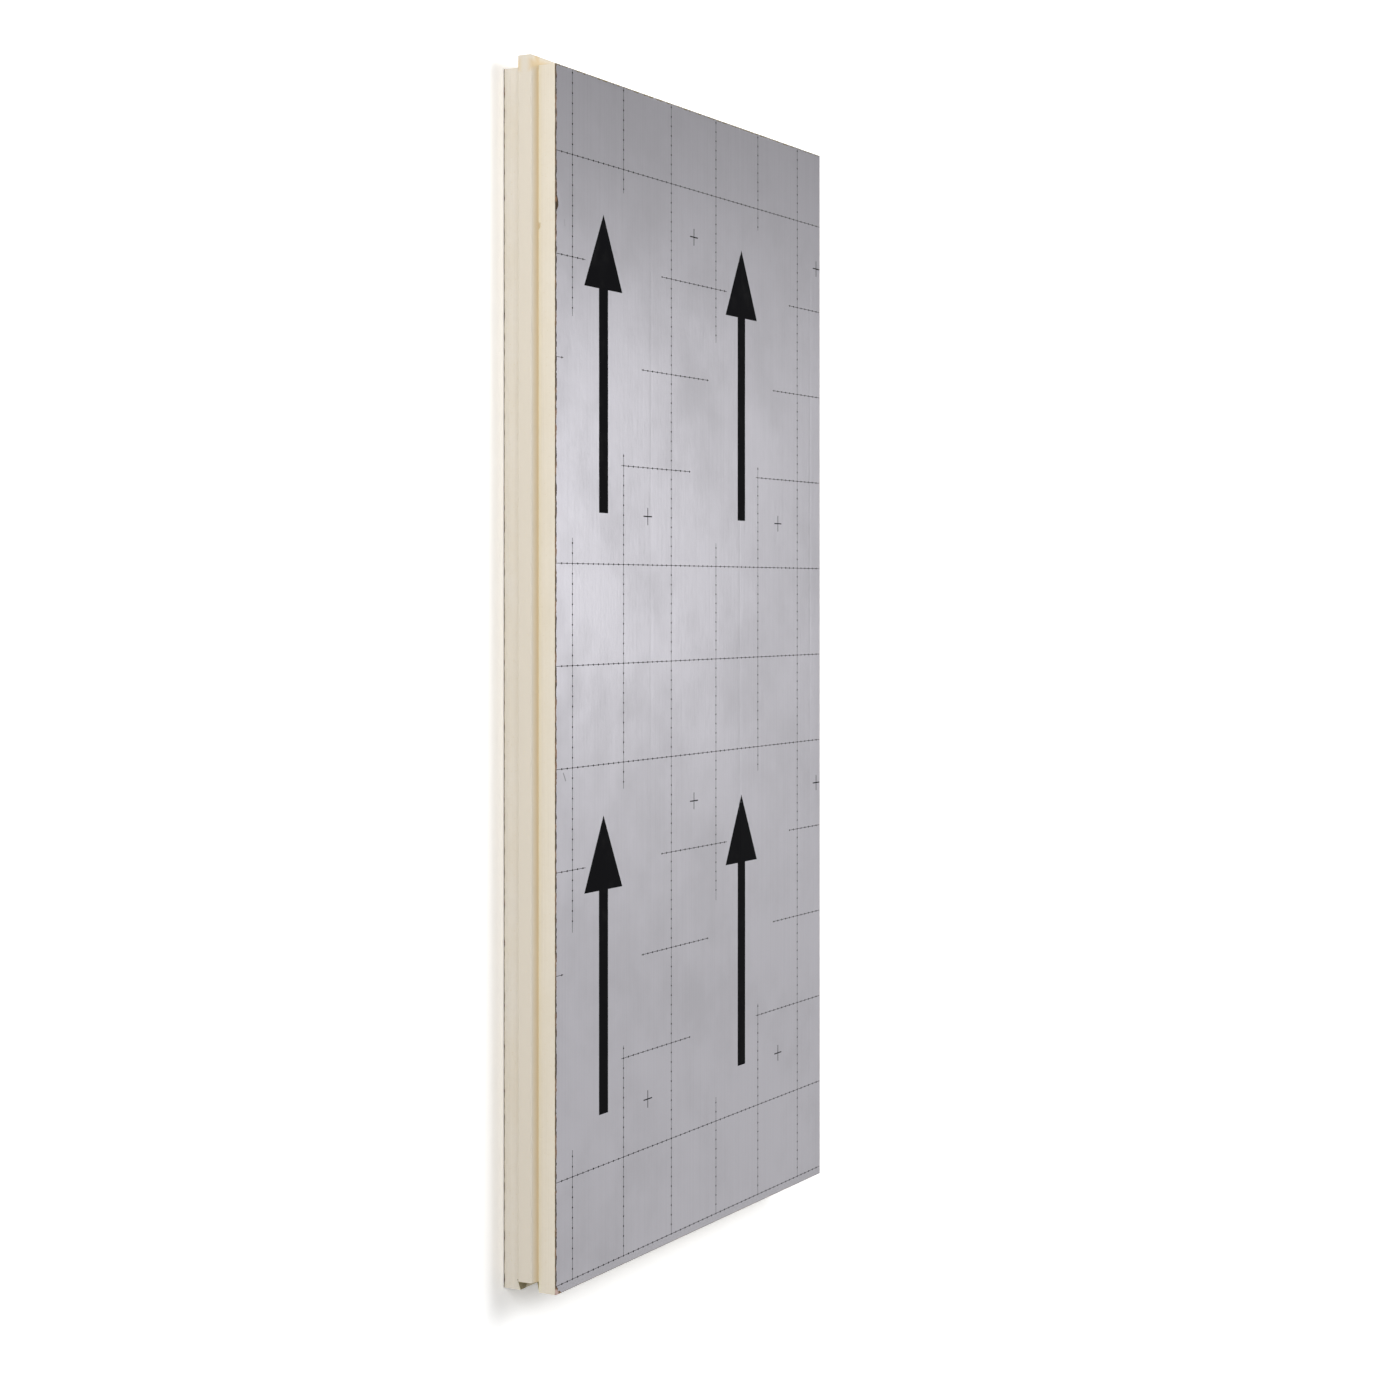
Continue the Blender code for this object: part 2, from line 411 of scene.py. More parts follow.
def fade(tree, value, start, end, low=0.0, high=1.0):
    """A soft step on another node's output: low up to the start, high from the end on."""
    step = add_node(tree, "ShaderNodeMapRange", interpolation_type="SMOOTHSTEP",
                    From_Min=start, From_Max=end, To_Min=low, To_Max=high)
    tree.links.new(value, step.inputs["Value"])
    return step.outputs["Result"]


def distance_to(tree, place, point):
    """How far the surface lies from one point."""
    distance = add_node(tree, "ShaderNodeVectorMath", operation="DISTANCE")
    distance.inputs[1].default_value = point
    tree.links.new(place.outputs["Object"], distance.inputs[0])
    return distance.outputs["Value"]


def start_group(name, inputs, outputs):
    """A shader node group with named inputs and outputs, and its two end nodes."""
    group = bpy.data.node_groups.new(name, "ShaderNodeTree")
    for label, value in inputs.items():
        socket = group.interface.new_socket(name=label, in_out="INPUT", socket_type="NodeSocketFloat")
        socket.default_value = value
    for label in outputs:
        group.interface.new_socket(name=label, in_out="OUTPUT", socket_type="NodeSocketFloat")
    return group, group.nodes.new("NodeGroupInput"), group.nodes.new("NodeGroupOutput")


def place_group(tree, group, **values):
    """An effect placed in a material, with its own values."""
    placed = tree.nodes.new("ShaderNodeGroup")
    placed.node_tree = group
    for name, value in values.items():
        placed.inputs[name.replace("_", " ")].default_value = value
    return placed


def make_blotches():
    """Soft patches, as of dust, handling and uneven stock: 0 clean to 1 marked."""
    group, given, result = start_group("blotches", {"Scale": 10.0, "Edge": 0.5, "Softness": 0.2}, ["Mask"])
    place = add_node(group, "ShaderNodeTexCoord")
    cloud = add_node(group, "ShaderNodeTexNoise", Detail=5.0, Roughness=0.6)
    limits = add_node(group, "ShaderNodeMapRange", interpolation_type="SMOOTHSTEP")
    group.links.new(place.outputs["Object"], cloud.inputs["Vector"])
    group.links.new(given.outputs["Scale"], cloud.inputs["Scale"])
    group.links.new(cloud.outputs["Fac"], limits.inputs["Value"])
    low = do_sum(group, "SUBTRACT", given.outputs["Edge"], given.outputs["Softness"])
    high = do_sum(group, "ADD", given.outputs["Edge"], given.outputs["Softness"])
    group.links.new(low, limits.inputs["From Min"])
    group.links.new(high, limits.inputs["From Max"])
    group.links.new(limits.outputs["Result"], result.inputs["Mask"])
    return group


def make_streaks():
    """Fine parallel marks along one edge or face, drawn out by a length and width of their own."""
    group, given, result = start_group(
        "streaks", {"Across Length": 3.0, "Across Width": 300.0, "Across Depth": 300.0}, ["Mark"]
    )
    place = add_node(group, "ShaderNodeTexCoord")
    stretch = add_node(group, "ShaderNodeVectorMath", operation="MULTIPLY")
    sizes = add_node(group, "ShaderNodeCombineXYZ")
    cloud = add_node(group, "ShaderNodeTexNoise", Scale=1.0, Detail=3.0, Roughness=0.55)
    for label, axis in (("Across Length", "X"), ("Across Width", "Y"), ("Across Depth", "Z")):
        group.links.new(given.outputs[label], sizes.inputs[axis])
    group.links.new(place.outputs["Object"], stretch.inputs[0])
    group.links.new(sizes.outputs[0], stretch.inputs[1])
    group.links.new(stretch.outputs[0], cloud.inputs["Vector"])
    group.links.new(cloud.outputs["Fac"], result.inputs["Mark"])
    return group


BLOTCHES = make_blotches()
STREAKS = make_streaks()


def darken_tip(tree, axes, colour):
    """The tongue's tip is a little darker."""
    past_end = do_sum(tree, "SUBTRACT", axes.outputs["X"], FOAM_LOW.x)
    past_side = do_sum(tree, "SUBTRACT", axes.outputs["Y"], FOAM_LOW.y)
    tip_darkening = fade(tree, do_sum(tree, "MINIMUM", past_end, past_side), *TIP_DARK_FADE, high=0.90)
    return mix_colours(tree, tip_darkening, colour, FOAM_TIP_DARKER)


def dust_and_shade_root(tree, axes, rise, colour):
    """Along the tongue's root, a painted warm shade of the corner with some dust in it, yellower than the
    foam. The shoulder beside it is painted paler, as light bounced off the tongue.
    """
    over_root = do_sum(tree, "ABSOLUTE", do_sum(tree, "SUBTRACT", rise, TONGUE_ROOT_HALF), 0.0)
    from_end = do_sum(tree, "ABSOLUTE", do_sum(tree, "SUBTRACT", axes.outputs["X"], SHOULDER.x), 0.0)
    from_side = do_sum(tree, "ABSOLUTE", do_sum(tree, "SUBTRACT", axes.outputs["Y"], SHOULDER.y), 0.0)
    from_root = do_sum(tree, "MAXIMUM", over_root, do_sum(tree, "MINIMUM", from_end, from_side))
    on_tongue = do_sum(tree, "LESS_THAN", rise, TONGUE_ROOT_HALF + 4 * NEAR)
    # Painted warm corner shade, with some dust, along the tongue's root.
    dusty = do_sum(tree, "MULTIPLY", fade(tree, from_root, DUST_AND_SHADE_SPREAD, 0.0, high=0.75), on_tongue)
    colour = mix_colours(tree, dusty, colour, FOAM_DUST_AND_SHADE)
    # Painted bounce light on the shoulder beside the root.
    bounce_light = fade(tree, rise, TONGUE_ROOT_HALF + BOUNCE_LIGHT_SPREAD, TONGUE_ROOT_HALF, high=0.7)
    bounce_light = do_sum(tree, "MULTIPLY", bounce_light, do_sum(tree, "SUBTRACT", 1.0, on_tongue))
    return mix_colours(tree, bounce_light, colour, FOAM_BOUNCE_LIGHT)


def scorch_and_shade_grooves(tree, place, axes, rise, colour):
    """The grooves' floors and walls are painted darker: a little scorch from the hot cutter, and mostly
    painted shade, darkest where the end groove's cutter ran out.
    """
    past_end = do_sum(tree, "SUBTRACT", axes.outputs["X"], DOCKED_X)
    past_side = do_sum(tree, "SUBTRACT", axes.outputs["Y"], DOCKED_Y)
    from_floor = do_sum(tree, "MAXIMUM", past_end, past_side)
    inside = do_sum(tree, "GREATER_THAN", from_floor, -2 * CUTTER_WAVE_DEPTH)
    inside = do_sum(tree, "MULTIPLY", inside, do_sum(tree, "LESS_THAN", rise, GROOVE_MOUTH_HALF + NEAR))
    groove_scorch_and_shade = do_sum(tree, "MULTIPLY", fade(tree, from_floor, *SCORCH_AND_SHADE_FADE), inside)
    shaded_run_out = fade(tree, axes.outputs["Y"], *SHADED_RUN_OUT_FADE, low=0.28, high=0.90)
    colour = mix_colours(tree, do_sum(tree, "MULTIPLY", groove_scorch_and_shade, shaded_run_out), colour, FOAM_SCORCH_AND_SHADE)

    # Painted shade in the break in the back lip, as dark, up to the clean shoulder.
    from_break = distance_to(tree, place, (BREAK_LOW + BREAK_HIGH) / 2)
    past_shoulder = do_sum(tree, "GREATER_THAN", axes.outputs["Y"], SHOULDER.y + 8 * NEAR)
    break_shade = do_sum(tree, "MULTIPLY", fade(tree, from_break, *BREAK_SHADE_FADE, high=0.75), past_shoulder)
    return mix_colours(tree, break_shade, colour, FOAM_SCORCH_AND_SHADE)


def stain_and_shade_rim(tree, axes, rise, colour):
    """A ragged brown line under each facing, fainter at the back one: partly resin soaked into the foam,
    partly painted shadow of the facing's edge.
    """
    ragged = place_group(tree, STREAKS, Across_Length=160.0, Across_Width=160.0, Across_Depth=20.0)
    skin = do_sum(tree, "ADD", rise, do_sum(tree, "MULTIPLY", ragged.outputs["Mark"], RIM_LINE_RAGGED))
    lower = do_sum(tree, "LESS_THAN", axes.outputs["Z"], MIDDLE)
    strength = do_sum(tree, "SUBTRACT", 1.0, do_sum(tree, "MULTIPLY", lower, 0.7))
    rim_stain_and_shade = do_sum(tree, "MULTIPLY", fade(tree, skin, *RIM_LINE_FADE), strength)
    return mix_colours(tree, rim_stain_and_shade, colour, RESIN_AND_SHADE_BROWN)


def foam_material():
    """Cut foam: cream, matt, with fine open cells, saw lines, a darker line at each facing that is partly
    resin and partly painted shadow, and painted shade in its pores, its grooves and along the tongue's root.
    """
    material, tree, shader = start_material("cut_foam", FOAM_CREAM, 0.9)
    place = add_node(tree, "ShaderNodeTexCoord")
    axes = add_node(tree, "ShaderNodeSeparateXYZ")
    tree.links.new(place.outputs["Object"], axes.inputs[0])
    rise = do_sum(tree, "ABSOLUTE", do_sum(tree, "SUBTRACT", axes.outputs["Z"], MIDDLE), 0.0)

    patches = place_group(tree, BLOTCHES, Scale=14.0, Edge=0.52, Softness=0.25)
    mottle = place_group(tree, BLOTCHES, Scale=240.0, Edge=0.55, Softness=0.3)
    saw = place_group(tree, STREAKS, Across_Length=6.0, Across_Width=6.0, Across_Depth=900.0)
    towards_back = fade(tree, axes.outputs["Z"], MIDDLE, MIDDLE - TONGUE_ROOT_HALF)
    colour = mix_colours(tree, towards_back, FOAM_CREAM, FOAM_PALE)
    colour = mix_colours(tree, do_sum(tree, "MULTIPLY", patches.outputs["Mask"], 0.45), colour, FOAM_DEEP)
    colour = mix_colours(tree, do_sum(tree, "MULTIPLY", mottle.outputs["Mask"], 0.25), colour, FOAM_DEEP)
    lines = colour_ramp(tree, saw.outputs["Mark"], ((0.30, grey(0.96)), (0.60, grey(1.0))))
    colour = mix_colours(tree, 1.0, colour, lines, "MULTIPLY")
    colour = darken_tip(tree, axes, colour)

    cells = add_node(tree, "ShaderNodeTexVoronoi", feature="DISTANCE_TO_EDGE", Scale=1700.0)
    pores = add_node(tree, "ShaderNodeTexVoronoi", feature="F1", Scale=210.0)
    tree.links.new(place.outputs["Object"], cells.inputs["Vector"])
    tree.links.new(place.outputs["Object"], pores.inputs["Vector"])
    # The pores are painted darker, as the shade that falls in them.
    pits = colour_ramp(tree, pores.outputs["Distance"], ((0.07, grey(0.0)), (0.16, grey(1.0))))
    colour = mix_colours(tree, pits, FOAM_DEEP, colour)
    colour = dust_and_shade_root(tree, axes, rise, colour)
    colour = scorch_and_shade_grooves(tree, place, axes, rise, colour)
    colour = stain_and_shade_rim(tree, axes, rise, colour)
    tree.links.new(colour, shader.inputs["Base Color"])

    relief = do_sum(tree, "MULTIPLY", cells.outputs["Distance"], 0.5)
    relief = do_sum(tree, "ADD", relief, do_sum(tree, "MULTIPLY", pits, 0.8))
    relief = do_sum(tree, "ADD", relief, do_sum(tree, "MULTIPLY", saw.outputs["Mark"], 0.7))
    bump = add_node(tree, "ShaderNodeBump", Strength=0.6, Distance=0.0003)
    tree.links.new(relief, bump.inputs["Height"])
    tree.links.new(bump.outputs["Normal"], shader.inputs["Normal"])
    dryness = colour_ramp(tree, mottle.outputs["Mask"], ((0.0, grey(0.84)), (1.0, grey(0.96))))
    tree.links.new(dryness, shader.inputs["Roughness"])
    return material


milled_foam = mill_foam()
milled_foam.data.materials.append(foam_material())
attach(milled_foam, "root")
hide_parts("foam_core")


# Facings
# Each is a laminate of embossed foil on kraft paper, bonded to the foam as it sets and trimmed flush
# with the shoulders. The trim is ragged, so the brown paper shows as a dark line round the foil, painted
# near-black with the shadow along the trim.
FRONT_LOW, FRONT_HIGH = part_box("front_facing")
BACK_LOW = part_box("back_facing")[0]
INK_ROOM = 0.00005
FRONT_CELLS_LONG = 270
FRONT_CELLS_WIDE = 270
BACK_CELLS_LONG = 200
BACK_CELLS_WIDE = 150
RIM_DROP = 0.0002
TRIM_WIDTH = 0.0014
CLEAN_TRIM = 0.0004
HEAD_TRIM = 0.0008
TRIM_RAGGED = 0.0013
RAGGED_SIZES = (("X", 0.0030), ("Y", 0.0045))
# Each wave of the foil: its name, its length and its depth.
FOIL_WAVES = (("broad_wave", 0.12, 0.00030), ("small_wave", 0.022, 0.00007))
TORN_CORNER = Vector((FRONT_HIGH.x, FRONT_LOW.y, FRONT_HIGH.z))
TORN_LENGTH = 0.0075
TORN_STEP = (-0.0026, 0.0026, -0.0001)
TORN_FADE = (0.0062, 0.0046)
NICK = Vector((FRONT_HIGH.x - 1.065, FRONT_LOW.y, FRONT_HIGH.z))
NICK_LENGTH = 0.0080
NICK_STEP = (0, 0.0032, -0.0001)
CREASES_FROM_EDGE = (0.191, 0.393, 0.573)
CREASE_DEPTH = 0.00012
SKIN_LOWEST = FOAM_HIGH.z + 0.0003
SCUFF_FADE = (GROOVED.x - 0.0085, GROOVED.x - 0.0060)
FOIL_SILVER = (0.708, 0.692, 0.742, 1)
FOIL_DULL = (0.646, 0.632, 0.674, 1)
FOIL_SCUFFED = (0.612, 0.600, 0.636, 1)
FOIL_SCRAPED = (0.200, 0.190, 0.210, 1)
SCRAPE_SOFTNESS = 0.0010
# Each scrape: where it starts and ends, half its width, and how dark it is.
SCRAPES = (
    (Vector((0.0964, -0.2815, 0)), Vector((0.1056, -0.2761, 0)), 0.0011, 0.85),
    (Vector((-0.4460, -0.2790, 0)), Vector((-0.4380, -0.2780, 0)), 0.0012, 0.20),
)
# Near-black: the paper's brown with painted shadow along the trim.
KRAFT_BROWN_AND_SHADE = (0.060, 0.040, 0.024, 1)
KRAFT_PALE = (0.260, 0.150, 0.085, 1)
KRAFT_DUSTY = (0.400, 0.360, 0.280, 1)
KRAFT_TORN = (0.620, 0.450, 0.400, 1)
KRAFT_OLIVE = (0.210, 0.170, 0.095, 1)


def from_rim(place):
    """How far a place lies in from the nearest edge of the sheet."""
    return min(place.x - FRONT_LOW.x, FRONT_HIGH.x - place.x, place.y - FRONT_LOW.y, FRONT_HIGH.y - place.y)


def on_rim(place):
    return from_rim(place) < NEAR


def bond_sheet(name, outer, inner, cells_long, cells_wide):
    """A facing: a finely divided skin at its outer height, with a ragged trim, closed down to the foam."""
    bpy.ops.object.select_all(action="DESELECT")
    middle = (FRONT_LOW + FRONT_HIGH) / 2
    bpy.ops.mesh.primitive_grid_add(x_subdivisions=cells_long, y_subdivisions=cells_wide, size=1,
                                    location=(middle.x, middle.y, outer))
    sheet = bpy.context.object
    sheet.name = name
    sheet.data.name = name
    sheet.scale = (FRONT_HIGH.x - FRONT_LOW.x, FRONT_HIGH.y - FRONT_LOW.y, 1)
    bpy.ops.object.transform_apply(location=True, rotation=True, scale=True)
    sheet.data.materials.append(FOIL)
    sheet.data.materials.append(KRAFT)
    inward = 1 if inner > outer else -1

    bpy.ops.object.mode_set(mode="EDIT")
    bpy.ops.mesh.select_all(action="SELECT")
    bpy.ops.mesh.inset(thickness=TRIM_WIDTH, depth=0)
    divide_edges(sheet, lambda a, b: from_rim(a) < TRIM_WIDTH + NEAR and at(from_rim(a), from_rim(b)), 3)
    pick_edges(sheet, lambda a, b: on_rim(a) and on_rim(b))
    bpy.ops.mesh.extrude_region_move(TRANSFORM_OT_translate={"value": (0, 0, inner - outer)})
    bpy.ops.mesh.edge_face_add()
    pick_edges(sheet, lambda a, b: on_rim(a) and on_rim(b) and at(a.z, outer) and at(b.z, outer))
    bpy.ops.transform.translate(value=(0, 0, inward * RIM_DROP))
    bpy.ops.mesh.select_all(action="SELECT")
    bpy.ops.mesh.normals_make_consistent(inside=False)
    pick_faces(sheet, lambda place, normal: from_rim(place) < 0.8 * TRIM_WIDTH or at(place.z, inner))
    sheet.active_material_index = 1
    bpy.ops.object.material_slot_assign()
    bpy.ops.object.mode_set(mode="OBJECT")

    mark_group(sheet, "skin", lambda place: at(place.z, outer))
    mark_group(
        sheet, "trim",
        lambda place: at(place.z, outer) and at(from_rim(place), TRIM_WIDTH)
        and max(place.x - FRONT_HIGH.x, place.y - FRONT_HIGH.y) < -2 * TRIM_WIDTH,
    )
    for way, size in RAGGED_SIZES:
        ragged = cloud_texture("trim_" + way, size, contrast=3.0)
        press_surface(sheet, ragged, TRIM_RAGGED, "trim", way, middle=0.5)

    # The trim is narrower along the foot and the hidden edge, and along the head.
    for axis, plane, shift in (
        (0, FRONT_HIGH.x, TRIM_WIDTH - CLEAN_TRIM),
        (1, FRONT_HIGH.y, TRIM_WIDTH - CLEAN_TRIM),
        (0, FRONT_LOW.x, HEAD_TRIM - TRIM_WIDTH),
    ):
        step = Vector((0, 0, 0))
        step[axis] = shift
        bpy.ops.object.mode_set(mode="EDIT")
        pick_corners(
            sheet,
            lambda corner: NEAR < abs(plane - corner.co[axis]) < 1.6 * TRIM_WIDTH
            and not on_rim(corner.co) and at(corner.co.z, outer),
        )
        bpy.ops.transform.translate(value=step)
        bpy.ops.object.mode_set(mode="OBJECT")
    for wave, length, depth in FOIL_WAVES:
        press_surface(sheet, cloud_texture(wave, length), inward * depth, "skin", "Z")
    return sheet


def tear_trim(sheet, place, length, step):
    """Pulls the foil back from a stretch of its trim, so that more of the paper shows."""
    bpy.ops.object.mode_set(mode="EDIT")
    pick_corners(sheet, lambda corner: on_rim(corner.co))
    bpy.ops.mesh.hide()
    pick_corners(
        sheet,
        lambda corner: NEAR < from_rim(corner.co) < 1.6 * TRIM_WIDTH
        and (corner.co - place).length < length / 2,
    )
    bpy.ops.transform.translate(
        value=step, use_proportional_edit=True, proportional_edit_falloff="SMOOTH", proportional_size=length
    )
    bpy.ops.mesh.reveal(select=False)
    bpy.ops.object.mode_set(mode="OBJECT")


def fold_creases(sheet):
    """Presses in the fine lengthwise creases left where the foil was fed off its roll."""
    bpy.ops.object.mode_set(mode="EDIT")
    row = (FRONT_HIGH.y - FRONT_LOW.y) / FRONT_CELLS_WIDE
    for crease in CREASES_FROM_EDGE:
        pick_corners(
            sheet,
            lambda corner: abs(corner.co.y - FRONT_LOW.y - crease) < 0.51 * row
            and corner.co.z > SKIN_LOWEST and not on_rim(corner.co),
        )
        bpy.ops.transform.translate(value=(0, 0, -CREASE_DEPTH))
    bpy.ops.object.mode_set(mode="OBJECT")


def mark_along(tree, place, start, end, half_width):
    """A short soft mark in the plane of the foil: 1 along the line between two places, 0 off it."""
    way = (end - start).normalized()
    offset = add_node(tree, "ShaderNodeVectorMath", operation="SUBTRACT")
    offset.inputs[1].default_value = (start + end) / 2
    tree.links.new(place.outputs["Object"], offset.inputs[0])
    inside = []
    for heading, reach in ((way, (end - start).length / 2), (Vector((-way.y, way.x, 0)), half_width)):
        distance = add_node(tree, "ShaderNodeVectorMath", operation="DOT_PRODUCT")
        distance.inputs[1].default_value = heading
        tree.links.new(offset.outputs[0], distance.inputs[0])
        from_middle = do_sum(tree, "ABSOLUTE", distance.outputs["Value"], 0.0)
        inside.append(fade(tree, from_middle, reach, reach - SCRAPE_SOFTNESS))
    return do_sum(tree, "MULTIPLY", inside[0], inside[1])


def foil_material():
    """Embossed foil: bright, satin, faintly violet, with lengthwise lines, grain and duller patches."""
    material, tree, shader = start_material("embossed_foil", FOIL_SILVER, 0.35)
    shader.inputs["Metallic"].default_value = 1.0
    place = add_node(tree, "ShaderNodeTexCoord")
    dull = place_group(tree, BLOTCHES, Scale=9.0, Edge=0.55, Softness=0.2)
    fine = place_group(tree, BLOTCHES, Scale=420.0, Edge=0.5, Softness=0.3)
    roll = place_group(tree, STREAKS, Across_Length=2.5, Across_Width=330.0, Across_Depth=1.0)
    colour = mix_colours(tree, dull.outputs["Mask"], FOIL_SILVER, FOIL_DULL)
    lines = colour_ramp(tree, roll.outputs["Mark"], ((0.35, grey(0.97)), (0.55, grey(1.0))))
    colour = mix_colours(tree, 1.0, colour, lines, "MULTIPLY")

    # The strip past the last printed line is scuffed by handling.
    axes = add_node(tree, "ShaderNodeSeparateXYZ")
    tree.links.new(place.outputs["Object"], axes.inputs[0])
    scuffs = place_group(tree, BLOTCHES, Scale=500.0, Edge=0.52, Softness=0.10)
    scuffed = do_sum(tree, "MULTIPLY", scuffs.outputs["Mask"], fade(tree, axes.outputs["X"], *SCUFF_FADE))
    colour = mix_colours(tree, scuffed, colour, FOIL_SCUFFED)
    for start, end, half_width, strength in SCRAPES:
        scrape = do_sum(tree, "MULTIPLY", mark_along(tree, place, start, end, half_width), strength)
        colour = mix_colours(tree, scrape, colour, FOIL_SCRAPED)
    tree.links.new(colour, shader.inputs["Base Color"])

    polish = do_sum(tree, "MULTIPLY", dull.outputs["Mask"], 0.06)
    polish = do_sum(tree, "ADD", polish, do_sum(tree, "MULTIPLY", fine.outputs["Mask"], 0.05))
    tree.links.new(do_sum(tree, "ADD", polish, 0.30), shader.inputs["Roughness"])

    grain = add_node(tree, "ShaderNodeTexNoise", Scale=260.0, Detail=3.0, Roughness=0.5)
    tree.links.new(place.outputs["Object"], grain.inputs["Vector"])
    crinkle = place_group(tree, STREAKS, Across_Length=60.0, Across_Width=210.0, Across_Depth=1.0)
    relief = do_sum(tree, "MULTIPLY", roll.outputs["Mark"], 0.5)
    relief = do_sum(tree, "ADD", relief, do_sum(tree, "MULTIPLY", grain.outputs["Fac"], 0.8))
    relief = do_sum(tree, "ADD", relief, do_sum(tree, "MULTIPLY", crinkle.outputs["Mark"], 1.6))
    bump = add_node(tree, "ShaderNodeBump", Strength=0.35, Distance=0.0002)
    tree.links.new(relief, bump.inputs["Height"])
    tree.links.new(bump.outputs["Normal"], shader.inputs["Normal"])
    return material


def kraft_material():
    """The cut edge of the paper, soaked brown by the foam's resin and painted near-black with the shadow
    along the trim, with paler torn fibres.
    """
    material, tree, shader = start_material("kraft_edge", KRAFT_BROWN_AND_SHADE, 0.8)
    torn = place_group(tree, BLOTCHES, Scale=90.0, Edge=0.54, Softness=0.08)
    fibre = place_group(tree, STREAKS, Across_Length=900.0, Across_Width=900.0, Across_Depth=3000.0)
    colour = mix_colours(tree, torn.outputs["Mask"], KRAFT_BROWN_AND_SHADE, KRAFT_PALE)

    # It is dusty along the back, olive along the head, and freshly torn at one corner of the foot.
    place = add_node(tree, "ShaderNodeTexCoord")
    axes = add_node(tree, "ShaderNodeSeparateXYZ")
    tree.links.new(place.outputs["Object"], axes.inputs[0])
    specks = place_group(tree, BLOTCHES, Scale=130.0, Edge=0.40, Softness=0.05)
    at_back = do_sum(tree, "LESS_THAN", axes.outputs["Z"], MIDDLE)
    dusty = do_sum(tree, "MULTIPLY", at_back, specks.outputs["Mask"])
    colour = mix_colours(tree, dusty, colour, KRAFT_DUSTY)
    at_head = do_sum(tree, "LESS_THAN", axes.outputs["X"], FRONT_LOW.x + TRIM_WIDTH)
    colour = mix_colours(tree, at_head, colour, KRAFT_OLIVE)
    bare = fade(tree, distance_to(tree, place, TORN_CORNER), *TORN_FADE)
    colour = mix_colours(tree, bare, colour, KRAFT_TORN)

    lines = colour_ramp(tree, fibre.outputs["Mark"], ((0.35, grey(0.7)), (0.65, grey(1.0))))
    tree.links.new(mix_colours(tree, 1.0, colour, lines, "MULTIPLY"), shader.inputs["Base Color"])
    rough = colour_ramp(tree, fibre.outputs["Mark"], ((0.3, grey(0.92)), (0.7, grey(0.7))))
    tree.links.new(rough, shader.inputs["Roughness"])
    bump = add_node(tree, "ShaderNodeBump", Strength=0.5, Distance=0.0001)
    tree.links.new(fibre.outputs["Mark"], bump.inputs["Height"])
    tree.links.new(bump.outputs["Normal"], shader.inputs["Normal"])
    return material


FOIL = foil_material()
KRAFT = kraft_material()

back_sheet = bond_sheet("back_foil_sheet", BACK_LOW.z, FOAM_LOW.z, BACK_CELLS_LONG, BACK_CELLS_WIDE)
bpy.ops.object.shade_smooth_by_angle(angle=math.radians(30))
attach(back_sheet, "root")
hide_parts("back_facing")

front_sheet = bond_sheet("front_foil_sheet", FRONT_HIGH.z - INK_ROOM, FOAM_HIGH.z,
                         FRONT_CELLS_LONG, FRONT_CELLS_WIDE)
fold_creases(front_sheet)
tear_trim(front_sheet, TORN_CORNER, TORN_LENGTH, TORN_STEP)
tear_trim(front_sheet, NICK, NICK_LENGTH, NICK_STEP)
bpy.ops.object.shade_smooth_by_angle(angle=math.radians(30))
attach(front_sheet, "root")
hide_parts("front_facing")


# Printed grid
# A cutting grid printed on the front foil in dark ink: thin lines both ways with a dot every 10 mm, to
# measure and cut by. It is broken by a slanted bare patch round each laying arrow and a square one round
# each register cross.
LINE_STEP_ALONG = 0.10067
LINE_STEP_ACROSS = 0.1015
FIRST_LINE_X = GROOVED.x - 0.0084
FIRST_LINE_Y = SHOULDER.y + 0.0317
LINES_ALONG = 6
LINES_ACROSS = 12
FINE_LINE_WIDTH = 0.00058
BOLD_LINE_WIDTH = 0.00050
DOT_SIZE = 0.0022
DOTS_PER_SQUARE = 10
DOTS_BEFORE_LINE = 2
LINE_CELLS_ALONG = 300
LINE_CELLS_ACROSS = 600
CLEAR_LENGTH_HALF = 0.176
CLEAR_WIDTH_HALF = 0.078
CLEAR_REACH = 0.135
CLEAR_SLANT = 0.42
CROSS_CLEAR_HALF = 0.024
INK_LIFT = 0.00003
INK_DEPTH = 0.00008
INK_MARGIN = 0.0012
ABOVE_FOIL = FRONT_HIGH.z + 0.001
INK_BLACK = (0.003, 0.003, 0.004, 1)


def grid_place(column, row):
    """A place on the print, counted in squares from the corner where the first two lines cross."""
    return Vector(
        (FIRST_LINE_X - row * LINE_STEP_ALONG, FIRST_LINE_Y + column * LINE_STEP_ACROSS, ABOVE_FOIL)
    )


ARROW_PLACES = [grid_place(column, row) for row in (3, 9) for column in (0.6, 3.6)]
CROSS_PLACES = [grid_place(column + 1.5 + row % 2, row * 3 + 1.5) for row in range(4) for column in (0, 3)]


def in_clear(place):
    """Whether a place lies in the slanted bare patch round an arrow or the square one round a cross."""
    for centre in ARROW_PLACES:
        along = centre.x - place.x
        across = place.y - centre.y
        slanted = abs(across - CLEAR_SLANT * along) < CLEAR_WIDTH_HALF
        if slanted and abs(along) < CLEAR_LENGTH_HALF and abs(across) < CLEAR_REACH:
            return True
    for centre in CROSS_PLACES:
        if max(abs(place.x - centre.x), abs(place.y - centre.y)) < CROSS_CLEAR_HALF:
            return True
    return False


